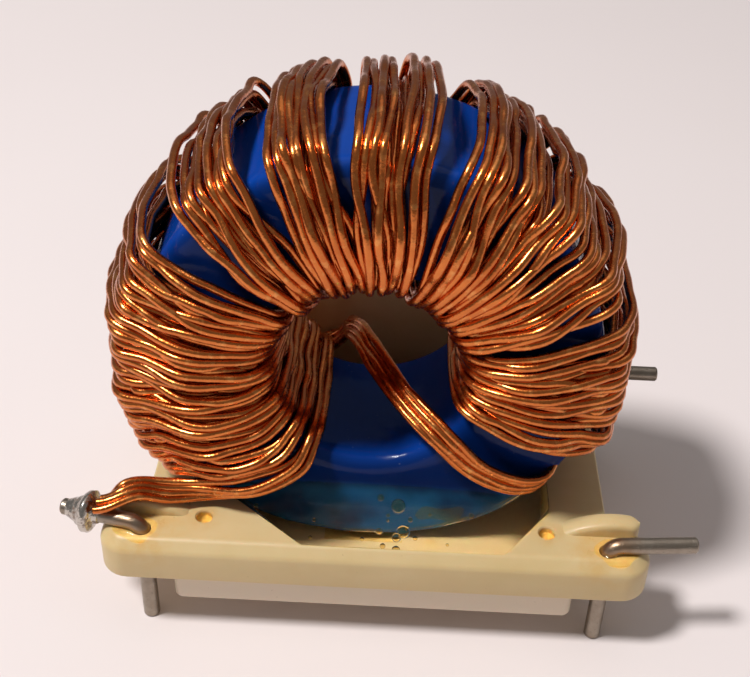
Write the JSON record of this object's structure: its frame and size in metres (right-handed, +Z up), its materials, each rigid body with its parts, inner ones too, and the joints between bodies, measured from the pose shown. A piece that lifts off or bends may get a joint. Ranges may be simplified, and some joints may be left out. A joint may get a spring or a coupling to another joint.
{
  "type": "toroidal inductor",
  "caption": "Upright ring-core inductor wound with parallel enamelled copper strands and glued into a moulded header with bent wire pins.",
  "frame": {"origin": "centre of the outline in plan, level with the ends of the four legs", "axes": "+X to the right along the long side of the base, +Y from front to back along the core's axis, +Z up"},
  "size_m": [0.0458, 0.0238, 0.0393],
  "materials": {
    "moulding": "cream moulded thermoplastic, slightly glossy",
    "core_coating": "thick glossy blue resin coating over the pressed core",
    "resin": "clear amber resin, wet looking, with a few air bubbles",
    "tinned_wire": "dull tin plating with fine drawing marks",
    "enamelled_copper": "copper under clear reddish enamel, glossy",
    "solder": "bright solder with a little brown flux"
  },
  "bodies": {
    "root": {"base": "moulding", "core": "core_coating", "adhesive": "resin", "pin_front_left": "tinned_wire", "pin_front_right": "tinned_wire", "pin_back_left": "tinned_wire", "pin_back_right": "tinned_wire", "strand_1": "enamelled_copper", "strand_2": "enamelled_copper", "strand_3": "enamelled_copper", "strand_4": "enamelled_copper", "solder_front_left": "solder", "solder_back_left": "solder"}
  },
  "joints": []
}
